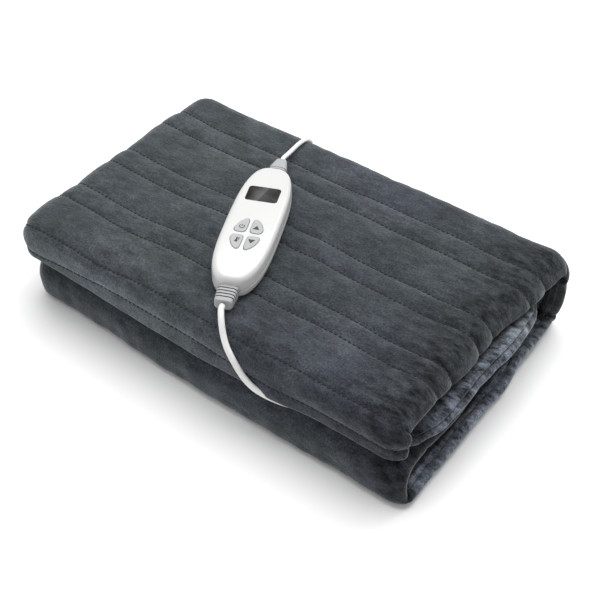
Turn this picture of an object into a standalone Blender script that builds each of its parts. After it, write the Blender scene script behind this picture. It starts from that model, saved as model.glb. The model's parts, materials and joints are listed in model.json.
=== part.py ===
"""Folded electric heated throw with its inline handset, both leads and the mains plug.

Metres, +Z up. +X runs along the folded packet's long side, -Y is the side where the hem hangs,
and the origin is the bottom centre of the packet. The handset lies askew on the packet's top.
"""
import math

import bmesh
import bpy
from mathutils import Matrix, Vector

# --- driving dimensions -------------------------------------------------------------------------
GAP = 0.0003                     # clearance between solids that rest on or in each other
WELD = 0.00001                   # merge distance when a curve becomes a mesh

PACKET_LENGTH = 0.420            # along X
PACKET_DEPTH = 0.264             # along Y
PACKET_TOP = 0.0892
LAYER = 0.0050                   # the outermost quilted layer
WIRE_SPACE = 0.0030              # between that layer and the packet below it
HEM_HEIGHT = 0.049               # lower edge of the layer that hangs over the front
FRONT_ROLL = 0.0191              # radius of the top front edge
BACK_ROLL = 0.0220               # radius of the top back edge
FOLD_LOW = 0.0425                # the gap between the lower and upper packets
FOLD_HIGH = 0.0485
END_INSET = 0.002                # inner packets end this far inside the outer layer

WIRE_RADIUS = 0.001
WIRE_RUNS = 9

HANDSET_AT = (-0.0209, -0.0268)  # centre of the handset on the packet's top
HANDSET_TURN = 23.8              # degrees from +Y towards -X
HANDSET_WIDTH = 0.0475
HANDSET_LENGTH = 0.1525
HANDSET_HEIGHT = 0.022
HANDSET_EDGE = 0.005             # rounding of its rims
SPLIT = 0.00915                  # parting line of the two shells, above the handset's base
WALL = 0.002
OVAL_POWER = 3.0                 # superellipse exponent of the outline

WINDOW_SIZE = (0.0280, 0.0196)
WINDOW_Y = 0.0343
KEYS_Y = -0.0202                 # centre of the four-key cluster
KEYS_RADII = (0.0130, 0.0211)
KEY_SLIT = 0.0032                # between neighbouring keys
KEY_PROUD = 0.0008
KEY_FLANGE = 0.0010
SWITCH_OFFSET = (0.0060, 0.0085)  # from the cluster's centre
BOARD_LOW = 0.0084
BOARD_THICK = 0.0016
SCREW_AT = (0.009, 0.057)
LEAD_BOOT_TIP = 0.0935           # from the handset's centre
MAINS_BOOT_TIP = 0.1005

CORD = 0.0052                    # diameter of the lead to the throw
MAINS_CORD = 0.0042              # and of the mains lead
HANK_CENTRE = (-0.0245, 0.1630)
HANK_RUN = 0.070                 # straight part of each turn
HANK_TURN = 0.0208               # centreline radius of the outer turns
HANK_LOW = 0.0016
HANK_HIGH = 0.0168

# --- hand-chosen routes of the leads, straight out of each strain relief --------------------------
BLANKET_LEAD = [
    (0.0172, -0.1133, 0.09865), (0.0188, -0.1170, 0.0985), (0.0228, -0.1219, 0.0968),
    (0.0262, -0.1256, 0.0935), (0.0289, -0.1283, 0.0896), (0.0320, -0.1308, 0.0853),
    (0.0366, -0.1336, 0.0805), (0.0420, -0.1354, 0.0755), (0.0468, -0.1358, 0.0690),
    (0.0522, -0.1357, 0.0625), (0.0582, -0.1355, 0.0578), (0.0650, -0.1353, 0.0543),
    (0.0720, -0.1353, 0.0522), (0.0790, -0.1353, 0.0506), (0.0860, -0.1351, 0.0487),
    (0.0930, -0.1338, 0.0464), (0.1010, -0.1295, 0.0457), (0.1120, -0.1215, 0.0456),
    (0.1290, -0.1050, 0.0456), (0.1480, -0.0740, 0.0456), (0.1585, -0.0300, 0.0456),
    (0.1500, 0.0200, 0.0456), (0.1180, 0.0580, 0.0456), (0.0680, 0.0750, 0.0456),
    (0.0180, 0.0650, 0.0456), (-0.0200, 0.0360, 0.0456), (-0.0500, 0.0100, 0.0456),
    (-0.0770, 0.0010, 0.0440), (-0.0940, 0.0000, 0.0426), (-0.0993, 0.0000, 0.0425)]
MAINS_LEAD = [
    (-0.0618, 0.0659, 0.09865), (-0.0635, 0.0699, 0.0985), (-0.0664, 0.0797, 0.0956),
    (-0.0693, 0.0905, 0.0930), (-0.0711, 0.1000, 0.0920), (-0.0722, 0.1095, 0.0918),
    (-0.0733, 0.1180, 0.0906), (-0.0752, 0.1265, 0.0858), (-0.0776, 0.1325, 0.0778),
    (-0.0802, 0.1352, 0.0672), (-0.0840, 0.1365, 0.0540), (-0.0890, 0.1376, 0.0400),
    (-0.0935, 0.1388, 0.0270), (-0.0945, 0.1400, 0.0165), (-0.0901, 0.1410, 0.0096),
    (-0.0820, 0.1418, 0.0058), (-0.0748, 0.1422, 0.0045)]
MAINS_END = [
    (-0.0060, 0.1474, 0.0192), (0.0120, 0.1474, 0.0192), (0.0290, 0.1474, 0.0190),
    (0.0415, 0.1476, 0.0162), (0.0530, 0.1480, 0.0118), (0.0640, 0.1484, 0.0091),
    (0.0740, 0.1485, 0.0088)]
PLUG_X = 0.0743
PLUG_Y = 0.1485
PLUG_Z = 0.0088

# --- connector between the lead and the throw, in the fold -----------------------------------------
JOIN_Y = 0.0
JOIN_Z = 0.0425
PIN_SPACING = 0.007


# --- scene helpers ------------------------------------------------------------------------------
def clear_scene():
    for item in list(bpy.data.objects):
        bpy.data.objects.remove(item)


def new_collection(name):
    group = bpy.data.collections.new(name)
    bpy.context.scene.collection.children.link(group)
    return group


def new_material(name, colour, roughness, metallic=0.0):
    finish = bpy.data.materials.new(name)
    finish.use_nodes = True
    shader = finish.node_tree.nodes["Principled BSDF"]
    shader.inputs["Base Color"].default_value = (*colour, 1.0)
    shader.inputs["Roughness"].default_value = roughness
    shader.inputs["Metallic"].default_value = metallic
    return finish


def place(thing, finish=None, parent=None, at=(0.0, 0.0, 0.0)):
    """Put a finished object in the part's collection, under its parent."""
    PARTS.objects.link(thing)
    thing.parent = parent
    thing.location = at
    if finish:
        thing.data.materials.append(finish)
    return thing


def as_cutter(thing, parent=None, at=(0.0, 0.0, 0.0)):
    CUTTERS.objects.link(thing)
    thing.parent = parent
    thing.location = at
    thing.hide_render = True
    thing.display_type = "WIRE"
    return thing


def combine(target, tool, operation="DIFFERENCE"):
    step = target.modifiers.new(operation.lower(), "BOOLEAN")
    step.operation = operation
    step.object = tool
    step.solver = "EXACT"


def soften(thing, width, segments=2, angle=40):
    step = thing.modifiers.new("rims", "BEVEL")
    step.width = width
    step.segments = segments
    step.limit_method = "ANGLE"
    step.angle_limit = math.radians(angle)


def smooth_shade(thing, angle=35):
    thing.data.shade_smooth()
    thing.data.set_sharp_from_angle(angle=math.radians(angle))


# --- shape helpers --------------------------------------------------------------------------------
def arc(centre, radius, start, end, steps):
    """Points on a circular arc, angles in degrees, both ends included."""
    points = []
    for i in range(steps + 1):
        angle = math.radians(start + (end - start) * i / steps)
        points.append((centre[0] + radius * math.cos(angle), centre[1] + radius * math.sin(angle)))
    return points


def oval(inset, count=44):
    """The handset's outline, moved inwards by inset."""
    half = (HANDSET_WIDTH / 2 - inset, HANDSET_LENGTH / 2 - inset)
    points = []
    for i in range(count):
        angle = 2 * math.pi * (i + 0.5) / count
        cos, sin = math.cos(angle), math.sin(angle)
        points.append((half[0] * math.copysign(abs(cos) ** (2 / OVAL_POWER), cos),
                       half[1] * math.copysign(abs(sin) ** (2 / OVAL_POWER), sin)))
    return points


def rounded_box(width, height, radius, steps=3):
    points = []
    for sx, sy, start in ((1, 1, 0), (-1, 1, 90), (-1, -1, 180), (1, -1, 270)):
        centre = (sx * (width / 2 - radius), sy * (height / 2 - radius))
        points += arc(centre, radius, start, start + 90, steps)
    return points


def key_outline(side, end, grow):
    """A quarter of the key cluster's oval, less half a slit on its straight sides.

    side and end are the quarter's signs across and along; grow moves the outline outwards.
    """
    rx, ry = KEYS_RADII[0] + grow, KEYS_RADII[1] + grow
    near = KEY_SLIT / 2 - grow
    first = math.asin(near / ry)
    last = math.acos(near / rx)
    curve = [(rx * math.cos(first + (last - first) * i / 8), ry * math.sin(first + (last - first) * i / 8))
             for i in range(9)]
    corner = [(near, near)]
    return [(side * x, end * y) for x, y in corner + curve]


def slab(name, outline, low, high):
    """A closed flat solid: a filled 2D curve extruded from low to high."""
    curve = bpy.data.curves.new(name + "_outline", "CURVE")
    curve.dimensions = "2D"
    curve.fill_mode = "BOTH"
    curve.extrude = (high - low) / 2
    spline = curve.splines.new("POLY")
    spline.points.add(len(outline) - 1)
    for point, (u, v) in zip(spline.points, outline):
        point.co = (u, v, 0.0, 1.0)
    spline.use_cyclic_u = True
    guide = bpy.data.objects.new(name + "_outline", curve)
    bpy.context.scene.collection.objects.link(guide)
    graph = bpy.context.evaluated_depsgraph_get()
    mesh = bpy.data.meshes.new_from_object(guide.evaluated_get(graph), depsgraph=graph)
    bpy.data.objects.remove(guide)
    shape = bmesh.new()
    shape.from_mesh(mesh)
    bmesh.ops.remove_doubles(shape, verts=shape.verts, dist=WELD)
    bmesh.ops.dissolve_limit(shape, angle_limit=0.001, verts=shape.verts, edges=shape.edges)
    bmesh.ops.translate(shape, verts=shape.verts, vec=(0.0, 0.0, (low + high) / 2))
    bmesh.ops.recalc_face_normals(shape, faces=shape.faces)
    shape.to_mesh(mesh)
    shape.free()
    mesh.name = name
    return bpy.data.objects.new(name, mesh)


def bar(name, profile, half_length):
    """A solid of constant section along X, from a profile of (y, z) points."""
    thing = slab(name, profile, -half_length, half_length)
    thing.data.transform(Matrix(((0, 0, 1, 0), (1, 0, 0, 0), (0, 1, 0, 0), (0, 0, 0, 1))))
    return thing


def block(name, low, high):
    """A box between two corners."""
    mesh = bpy.data.meshes.new(name)
    shape = bmesh.new()
    bmesh.ops.create_cube(shape, size=1.0)
    size = Vector(high) - Vector(low)
    bmesh.ops.scale(shape, verts=shape.verts, vec=size)
    bmesh.ops.translate(shape, verts=shape.verts, vec=(Vector(low) + Vector(high)) / 2)
    shape.to_mesh(mesh)
    shape.free()
    return bpy.data.objects.new(name, mesh)


def cylinder(name, centre, radius, low, high, axis="Z", sides=20):
    """A cylinder along an axis, from low to high on it, through centre on the other two."""
    mesh = bpy.data.meshes.new(name)
    shape = bmesh.new()
    bmesh.ops.create_cone(shape, cap_ends=True, segments=sides, radius1=radius, radius2=radius,
                          depth=high - low)
    bmesh.ops.translate(shape, verts=shape.verts, vec=(0.0, 0.0, (low + high) / 2))
    if axis == "X":
        bmesh.ops.rotate(shape, verts=shape.verts, matrix=Matrix.Rotation(math.radians(90), 3, "Y"))
        shift = (0.0, centre[0], centre[1])
    elif axis == "Y":
        bmesh.ops.rotate(shape, verts=shape.verts, matrix=Matrix.Rotation(math.radians(-90), 3, "X"))
        shift = (centre[0], 0.0, centre[1])
    else:
        shift = (centre[0], centre[1], 0.0)
    bmesh.ops.translate(shape, verts=shape.verts, vec=shift)
    shape.to_mesh(mesh)
    shape.free()
    return bpy.data.objects.new(name, mesh)


def loft(name, stations, axis, centre, power=2.5, sides=20):
    """A solid through rounded sections. Each station is (distance along axis, half width, half height)."""
    mesh = bpy.data.meshes.new(name)
    shape = bmesh.new()
    rings = []
    for along, wide, high in stations:
        ring = []
        for i in range(sides):
            angle = 2 * math.pi * i / sides
            cos, sin = math.cos(angle), math.sin(angle)
            across = wide * math.copysign(abs(cos) ** (2 / power), cos)
            up = high * math.copysign(abs(sin) ** (2 / power), sin)
            if axis == "X":
                point = (along, centre[0] + across, centre[1] + up)
            else:
                point = (centre[0] + across, along, centre[1] + up)
            ring.append(shape.verts.new(point))
        rings.append(ring)
    for ring, following in zip(rings, rings[1:]):
        for i in range(sides):
            j = (i + 1) % sides
            shape.faces.new((ring[i], ring[j], following[j], following[i]))
    shape.faces.new(rings[0])
    shape.faces.new(rings[-1])
    bmesh.ops.recalc_face_normals(shape, faces=shape.faces)
    shape.to_mesh(mesh)
    shape.free()
    return bpy.data.objects.new(name, mesh)


def smooth_route(points, step):
    """A smooth curve through the points (centripetal spline), read off about every step metres."""
    knots = [Vector(p) for p in points]
    ends = [knots[0] * 2 - knots[1]] + knots + [knots[-1] * 2 - knots[-2]]
    fine = []
    for a, b, c, d in zip(ends, ends[1:], ends[2:], ends[3:]):
        t1 = max((b - a).length, WELD) ** 0.5
        t2 = t1 + max((c - b).length, WELD) ** 0.5
        t3 = t2 + max((d - c).length, WELD) ** 0.5
        for i in range(12):
            t = t1 + (t2 - t1) * i / 12
            p1 = a * ((t1 - t) / t1) + b * (t / t1)
            p2 = b * ((t2 - t) / (t2 - t1)) + c * ((t - t1) / (t2 - t1))
            p3 = c * ((t3 - t) / (t3 - t2)) + d * ((t - t2) / (t3 - t2))
            q1 = p1 * ((t2 - t) / t2) + p2 * (t / t2)
            q2 = p2 * ((t3 - t) / (t3 - t1)) + p3 * ((t - t1) / (t3 - t1))
            fine.append(q1 * ((t2 - t) / (t2 - t1)) + q2 * ((t - t1) / (t2 - t1)))
    fine.append(knots[-1])
    total = sum((q - p).length for p, q in zip(fine, fine[1:]))
    count = max(2, round(total / step))
    wanted = [total * i / count for i in range(count + 1)]
    route, done = [fine[0]], 0.0
    for p, q in zip(fine, fine[1:]):
        span = (q - p).length
        while len(route) <= count and span > 0 and wanted[len(route)] <= done + span + WELD / 10:
            route.append(p.lerp(q, min(1.0, (wanted[len(route)] - done) / span)))
        done += span
    return route


def tube(name, points, radius, resolution=2):
    """A round solid along a polyline, with filled ends."""
    curve = bpy.data.curves.new(name, "CURVE")
    curve.dimensions = "3D"
    curve.bevel_depth = radius
    curve.bevel_resolution = resolution
    curve.use_fill_caps = True
    spline = curve.splines.new("POLY")
    spline.points.add(len(points) - 1)
    for point, position in zip(spline.points, points):
        point.co = (*position, 1.0)
    return bpy.data.objects.new(name, curve)


# --- the throw ------------------------------------------------------------------------------------
def roll_centres():
    half = PACKET_DEPTH / 2
    front = (-half + FRONT_ROLL, PACKET_TOP - FRONT_ROLL)
    back = (half - BACK_ROLL, PACKET_TOP - BACK_ROLL)
    return front, back


def make_cover_layer():
    """The outermost layer: hem, front, top and back in one bent sheet."""
    front, back = roll_centres()
    half = PACKET_DEPTH / 2
    foot = 0.001
    outer = [(-half, HEM_HEIGHT)] + arc(front, FRONT_ROLL, 180, 90, 8)
    outer += arc(back, BACK_ROLL, 90, 0, 10) + [(half, foot)]
    inner = [(half - LAYER, foot)] + arc(back, BACK_ROLL - LAYER, 0, 90, 10)
    inner += arc(front, FRONT_ROLL - LAYER, 90, 180, 8) + [(-half + LAYER, HEM_HEIGHT)]
    cover = place(bar("cover_layer", outer + inner, PACKET_LENGTH / 2), VELOUR)
    smooth_shade(cover)


def make_upper_packet():
    """The folded layers under the cover's top."""
    front, back = roll_centres()
    shrink = LAYER + WIRE_SPACE
    corner = 0.010
    face = -PACKET_DEPTH / 2 + shrink
    profile = arc((face + corner, FOLD_HIGH + corner), corner, 270, 180, 5)
    profile += arc(front, FRONT_ROLL - shrink, 180, 90, 6)
    profile += arc(back, BACK_ROLL - shrink, 90, 0, 8)
    profile += [(PACKET_DEPTH / 2 - shrink, FOLD_HIGH)]
    packet = place(bar("upper_packet", profile, PACKET_LENGTH / 2 - END_INSET), VELOUR)
    smooth_shade(packet)


def make_lower_packet():
    """The folded layers that lie on the floor, with the smooth front fold and the connector's pocket."""
    radius = FOLD_LOW / 2
    nose = (-PACKET_DEPTH / 2 + 0.001 + radius, radius)
    heel = 0.010
    back = PACKET_DEPTH / 2 - LAYER - GAP
    profile = arc(nose, radius, 270, 90, 14)
    profile += arc((back - heel, FOLD_LOW - heel), heel, 90, 0, 4)
    profile += arc((back - heel, heel), heel, 0, -90, 4)
    packet = place(bar("lower_packet", profile, PACKET_LENGTH / 2 - END_INSET), VELOUR)
    pocket = block("connector_pocket", (-0.1840, JOIN_Y - 0.0185, JOIN_Z - 0.0058),
                   (-0.0500, JOIN_Y + 0.0185, FOLD_HIGH))
    combine(packet, as_cutter(pocket))
    smooth_shade(packet)


def make_heating_wire():
    """One continuous wire in parallel runs, between the cover and the upper packet."""
    level = PACKET_TOP - LAYER - WIRE_SPACE + GAP + WIRE_RADIUS
    half_run, first, last = 0.148, -0.100, 0.088
    pitch = (last - first) / (WIRE_RUNS - 1)
    points = []
    for run in range(WIRE_RUNS):
        side = 1 if run % 2 else -1
        y = first + pitch * run
        points += [(side * half_run, y, level), (-side * half_run, y, level)]
        if run < WIRE_RUNS - 1:
            turn = arc((0.0, y + pitch / 2), pitch / 2, -90, 90, 6)[1:-1]
            points += [(-side * (half_run + x), v, level) for x, v in turn]
    place(tube("heating_wire", points, WIRE_RADIUS), WIRE)
    sensor = cylinder("temperature_sensor", (0.052, first + pitch * 4.5), 0.004,
                      level - WIRE_RADIUS, level + WIRE_RADIUS)
    place(sensor, STEEL)


def make_connection():
    """The socket sewn into the throw, its pins, and the lead's connector in it."""
    mouth = -0.1520
    socket = block("blanket_socket", (mouth - 0.030, JOIN_Y - 0.016, JOIN_Z - 0.005),
                   (mouth, JOIN_Y + 0.016, JOIN_Z + 0.005))
    place(socket, GREY)
    recess = block("socket_recess", (mouth - 0.012, JOIN_Y - 0.0133, JOIN_Z - 0.0033),
                   (mouth + 0.002, JOIN_Y + 0.0133, JOIN_Z + 0.0033))
    soften(socket, 0.001, 1)
    combine(socket, as_cutter(recess))
    body = block("connector_body", (mouth + GAP, JOIN_Y - 0.015, JOIN_Z - 0.0047),
                 (mouth + 0.030, JOIN_Y + 0.015, JOIN_Z + 0.0047))
    place(body, WHITE)
    nose = block("connector_nose", (mouth - 0.0114, JOIN_Y - 0.0130, JOIN_Z - 0.0030),
                 (mouth + 0.003, JOIN_Y + 0.0130, JOIN_Z + 0.0030))
    combine(body, as_cutter(nose), "UNION")
    for i in range(3):
        y = JOIN_Y + PIN_SPACING * (i - 1)
        pin = cylinder(f"socket_pin_{i + 1}", (y, JOIN_Z), 0.0010, mouth - 0.0117, mouth - 0.001, "X", 12)
        place(pin, BRASS)
        bore = cylinder(f"pin_bore_{i + 1}", (y, JOIN_Z), 0.0013, mouth - 0.014, mouth, "X", 12)
        combine(body, as_cutter(bore))
    heel = mouth + 0.030 + GAP
    relief = loft("connector_relief", [(heel, 0.0070, 0.0040), (heel + 0.010, 0.0055, 0.0038),
                                       (-0.0997, 0.0036, 0.0034)], "X", (JOIN_Y, JOIN_Z))
    smooth_shade(place(relief, GREY))


# --- the handset ----------------------------------------------------------------------------------
def handset_body(name, inset, low, high, edge):
    body = slab(name, oval(inset), low, high)
    soften(body, edge, 3)
    return body


def make_shells(frame):
    """Two moulded half shells with the screw bosses, board posts and openings."""
    for name, side in (("shell_top", 1), ("shell_bottom", -1)):
        shell = place(handset_body(name, 0.0, 0.0, HANDSET_HEIGHT, HANDSET_EDGE), WHITE, frame)
        hollow = handset_body(name + "_hollow", WALL, WALL, HANDSET_HEIGHT - WALL, HANDSET_EDGE - WALL)
        combine(shell, as_cutter(hollow, frame))
        if side > 0:
            spare = block(name + "_spare", (-0.05, -0.1, -0.01), (0.05, 0.1, SPLIT + GAP / 2))
        else:
            spare = block(name + "_spare", (-0.05, -0.1, SPLIT - GAP / 2), (0.05, 0.1, 0.05))
        combine(shell, as_cutter(spare, frame))
        for sx in (-1, 1):
            for sy in (-1, 1):
                add_boss(shell, frame, sx * SCREW_AT[0], sy * SCREW_AT[1], side, f"{name}_{sx}_{sy}")
        for sy in (-1, 1):
            low, high = sorted((sy * 0.060, sy * 0.080))
            mouth = cylinder(f"{name}_cord_hole_{sy}", (0.0, SPLIT), 0.0046, low, high, "Y")
            combine(shell, as_cutter(mouth, frame))
        if side > 0:
            open_front(shell, frame)


def add_boss(shell, frame, x, y, side, tag):
    """A screw boss in the top shell, or the screw's hole and a board post in the bottom one."""
    if side > 0:
        boss = cylinder(tag + "_boss", (x, y), 0.0032, SPLIT + GAP, HANDSET_HEIGHT - WALL + 0.0005, sides=14)
        combine(shell, as_cutter(boss, frame), "UNION")
        pilot = cylinder(tag + "_pilot", (x, y), 0.0013, 0.0, 0.0178, sides=12)
        combine(shell, as_cutter(pilot, frame))
    else:
        post = cylinder(tag + "_post", (x * 1.35, y * 0.79), 0.0020, WALL - 0.0005, BOARD_LOW - GAP, sides=10)
        combine(shell, as_cutter(post, frame), "UNION")
        pillar = cylinder(tag + "_pillar", (x, y), 0.0036, WALL - 0.0005, SPLIT - GAP, sides=14)
        combine(shell, as_cutter(pillar, frame), "UNION")
        shank = cylinder(tag + "_shank", (x, y), 0.0014, -0.001, 0.02, sides=12)
        combine(shell, as_cutter(shank, frame))
        head = cylinder(tag + "_head", (x, y), 0.0026, -0.001, 0.0045, sides=14)
        combine(shell, as_cutter(head, frame))


def open_front(shell, frame):
    """The display's opening and one hole for each key."""
    window = slab("window_hole", rounded_box(WINDOW_SIZE[0] + 2 * GAP, WINDOW_SIZE[1] + 2 * GAP, 0.003),
                  0.017, 0.030)
    combine(shell, as_cutter(window, frame, (0.0, WINDOW_Y, 0.0)))
    for side, end, name in KEYS:
        hole = slab(f"{name}_hole", key_outline(side, end, GAP), 0.017, 0.030)
        combine(shell, as_cutter(hole, frame, (0.0, KEYS_Y, 0.0)))


def make_display(frame):
    window = slab("lcd_window", rounded_box(*WINDOW_SIZE, 0.0027), HANDSET_HEIGHT - WALL + 0.0002,
                  HANDSET_HEIGHT - 0.0002)
    place(window, BLACK, frame, (0.0, WINDOW_Y, 0.0))
    panel = block("lcd_panel", (-0.0150, WINDOW_Y - 0.0115, 0.0166),
                  (0.0150, WINDOW_Y + 0.0115, HANDSET_HEIGHT - WALL - GAP))
    place(panel, BLACK, frame)
    light = block("lcd_backlight", (-0.0150, WINDOW_Y - 0.0115, BOARD_LOW + BOARD_THICK + GAP),
                  (0.0150, WINDOW_Y + 0.0115, 0.0163))
    place(light, WHITE, frame)


def make_board(frame):
    """The circuit board and what is soldered to it, apart from the switches."""
    top = BOARD_LOW + BOARD_THICK
    board = slab("circuit_board", rounded_box(0.032, 0.104, 0.006), BOARD_LOW, top)
    place(board, GREEN, frame)
    fuse = cylinder("fuse", (-0.0465, top + GAP + 0.0026), 0.0026, -0.010, 0.010, "X", 14)
    place(fuse, GLASSY, frame)
    capacitor = block("capacitor", (-0.0130, 0.0055, top + GAP), (0.0000, 0.0115, top + 0.0090))
    place(capacitor, AMBER, frame)
    triac = block("power_switch", (0.0030, 0.0060, top + GAP), (0.0130, 0.0105, top + 0.0088))
    place(triac, BLACK, frame)


def make_keys(frame):
    """Each key with its flange and stem, and the switch under it."""
    top = BOARD_LOW + BOARD_THICK
    under = HANDSET_HEIGHT - WALL - GAP
    for side, end, name in KEYS:
        x, y = side * SWITCH_OFFSET[0], end * SWITCH_OFFSET[1]
        at = (0.0, KEYS_Y, 0.0)
        key = slab(f"button_{name}", key_outline(side, end, 0.0), under - 0.0004, HANDSET_HEIGHT + KEY_PROUD)
        soften(key, 0.0007, 2)
        place(key, KEY_GREY, frame, at)
        flange = slab(f"{name}_flange", key_outline(side, end, KEY_FLANGE), under - 0.0012, under)
        combine(key, as_cutter(flange, frame, at), "UNION")
        stem = cylinder(f"{name}_stem", (x, y), 0.0020, 0.0155, under - 0.0008, sides=12)
        combine(key, as_cutter(stem, frame, at), "UNION")
        plunger = cylinder(f"plunger_{name}", (x, y), 0.0017, 0.0122, 0.0152, sides=12)
        place(plunger, BLACK, frame, at)
        housing = block(f"switch_{name}", (x - 0.003, y - 0.003, top + GAP), (x + 0.003, y + 0.003, 0.0137))
        place(housing, STEEL, frame, at)
        well = cylinder(f"{name}_well", (x, y), 0.0020, 0.0111, 0.0150, sides=12)
        combine(housing, as_cutter(well, frame, at))


def make_screws(frame):
    number = 0
    for sx in (-1, 1):
        for sy in (-1, 1):
            number += 1
            at = (sx * SCREW_AT[0], sy * SCREW_AT[1])
            screw = cylinder(f"screw_{number}", (0.0, 0.0), 0.0010, 0.0035, 0.0175, sides=10)
            place(screw, STEEL, frame, (*at, 0.0))
            head = cylinder(f"screw_{number}_head", (0.0, 0.0), 0.0023, 0.0028, 0.0042, sides=14)
            combine(screw, as_cutter(head, frame, (*at, 0.0)), "UNION")
            slot = block(f"screw_{number}_slot", (-0.003, -0.0003, 0.0020), (0.003, 0.0003, 0.0033))
            combine(screw, as_cutter(slot, frame, (*at, 0.0)))


def make_reliefs(frame):
    """Both strain reliefs: a collar inside the shell, a neck in its hole and the boot outside."""
    end = HANDSET_LENGTH / 2
    inside = end - WALL - 0.0020
    root = [(inside - 0.0024, 0.0056, 0.0056), (inside - 0.0002, 0.0056, 0.0056),
            (inside, 0.0043, 0.0043), (end + GAP, 0.0043, 0.0043)]
    boot = [(end + 0.0006, 0.0088, 0.0062)]
    for i in range(4):
        start = end + 0.0040 + 0.0029 * i
        wide, high = 0.0085 - 0.0004 * i, 0.0059 - 0.0003 * i
        boot += [(start, wide, high), (start + 0.0003, wide - 0.0014, high - 0.0012),
                 (start + 0.0013, wide - 0.0014, high - 0.0012), (start + 0.0016, wide - 0.0001, high)]
    boot += [(LEAD_BOOT_TIP - 0.0006, 0.0070, 0.0048), (LEAD_BOOT_TIP, 0.0064, 0.0042)]
    stations = [(-along, wide, high) for along, wide, high in root + boot]
    smooth_shade(place(loft("lead_relief", stations, "Y", (0.0, SPLIT), 2.3), GREY, frame))
    boot = [(end + 0.0006, 0.0081, 0.0058), (end + 0.0080, 0.0076, 0.0054), (end + 0.0150, 0.0058, 0.0046),
            (MAINS_BOOT_TIP - 0.0005, 0.0041, 0.0038), (MAINS_BOOT_TIP, 0.0037, 0.0035)]
    smooth_shade(place(loft("mains_relief", root + boot, "Y", (0.0, SPLIT), 2.1), GREY, frame))


def make_handset():
    frame = bpy.data.objects.new("handset_frame", None)
    PARTS.objects.link(frame)
    frame.location = (*HANDSET_AT, PACKET_TOP + GAP)
    frame.rotation_euler = (0.0, 0.0, math.radians(HANDSET_TURN))
    make_shells(frame)
    make_display(frame)
    make_board(frame)
    make_keys(frame)
    make_screws(frame)
    make_reliefs(frame)


# --- leads, hank and plug ---------------------------------------------------------------------------
def make_leads():
    place(tube("blanket_lead", smooth_route(BLANKET_LEAD, 0.0115), CORD / 2), CORD_WHITE)
    place(tube("mains_lead", smooth_route(MAINS_LEAD, 0.0110), MAINS_CORD / 2), CORD_WHITE)
    place(tube("mains_lead_end", smooth_route(MAINS_END, 0.0100), MAINS_CORD / 2), CORD_WHITE)


def make_hank():
    radius = HANK_TURN + MAINS_CORD / 2
    ends = arc((HANK_RUN / 2, 0.0), radius, -90, 90, 14) + arc((-HANK_RUN / 2, 0.0), radius, 90, 270, 14)
    place(slab("mains_hank", ends, HANK_LOW, HANK_HIGH), CORD_WHITE, None, (*HANK_CENTRE, 0.0))
    width, thick, half = 2 * (radius + GAP), 0.0010, 0.005
    outer = block("hank_tie", (-half, -width / 2 - thick, HANK_LOW - GAP - thick),
                  (half, width / 2 + thick, HANK_HIGH + GAP + thick))
    place(outer, BLACK, None, (*HANK_CENTRE, 0.0))
    inner = block("tie_inside", (-half - 0.001, -width / 2, HANK_LOW - GAP),
                  (half + 0.001, width / 2, HANK_HIGH + GAP))
    combine(outer, as_cutter(inner, None, (*HANK_CENTRE, 0.0)))


def make_plug():
    centre = (PLUG_Y, PLUG_Z)
    relief = [(PLUG_X, 0.0038, 0.0038), (PLUG_X + 0.012, 0.0048, 0.0046), (PLUG_X + 0.022, 0.0062, 0.0056)]
    smooth_shade(place(loft("plug_relief", relief, "X", centre, 2.1, 16), CORD_WHITE))
    start = PLUG_X + 0.022 + GAP
    body = [(start, 0.0070, 0.0060), (start + 0.004, 0.0100, 0.0070), (start + 0.012, 0.0118, 0.0078),
            (start + 0.024, 0.0124, 0.0082), (start + 0.0265, 0.0120, 0.0080),
            (start + 0.0270, 0.0114, 0.0075)]
    smooth_shade(place(loft("plug_body", body, "X", centre, 3.0, 24), CORD_WHITE))
    face = start + 0.0270 + GAP
    for number, side in ((1, -1), (2, 1)):
        y = PLUG_Y + side * 0.00635
        blade = block(f"plug_blade_{number}", (face, y - 0.00075, PLUG_Z - 0.0032),
                      (face + 0.0165, y + 0.00075, PLUG_Z + 0.0032))
        soften(blade, 0.0004, 1)
        place(blade, BRASS)


clear_scene()
PARTS = new_collection("heated_throw")
CUTTERS = new_collection("cutters")
KEYS = ((-1, 1, "power"), (1, 1, "up"), (-1, -1, "heat"), (1, -1, "down"))
VELOUR = new_material("velour", (0.080, 0.092, 0.101), 0.95)
WHITE = new_material("white_shell", (0.80, 0.80, 0.79), 0.25)
KEY_GREY = new_material("key_grey", (0.48, 0.49, 0.50), 0.45)
GREY = new_material("relief_grey", (0.52, 0.53, 0.54), 0.55)
CORD_WHITE = new_material("cord_white", (0.75, 0.75, 0.74), 0.45)
BLACK = new_material("black_gloss", (0.012, 0.013, 0.015), 0.15)
GREEN = new_material("board_green", (0.02, 0.14, 0.06), 0.45)
STEEL = new_material("plain_steel", (0.55, 0.56, 0.57), 0.35, 1.0)
BRASS = new_material("plug_brass", (0.75, 0.60, 0.32), 0.30, 1.0)
WIRE = new_material("wire_cover", (0.60, 0.60, 0.58), 0.60)
AMBER = new_material("capacitor_amber", (0.45, 0.22, 0.05), 0.40)
GLASSY = new_material("fuse_glass", (0.70, 0.72, 0.72), 0.10)

make_cover_layer()
make_upper_packet()
make_lower_packet()
make_heating_wire()
make_connection()
make_handset()
make_leads()
make_hank()
make_plug()
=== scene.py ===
"""Looks of the folded heated throw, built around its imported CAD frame. Metres, +Z up."""
import json
import math

import bmesh
import bpy
import numpy as np
from mathutils import Matrix, Vector


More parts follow.
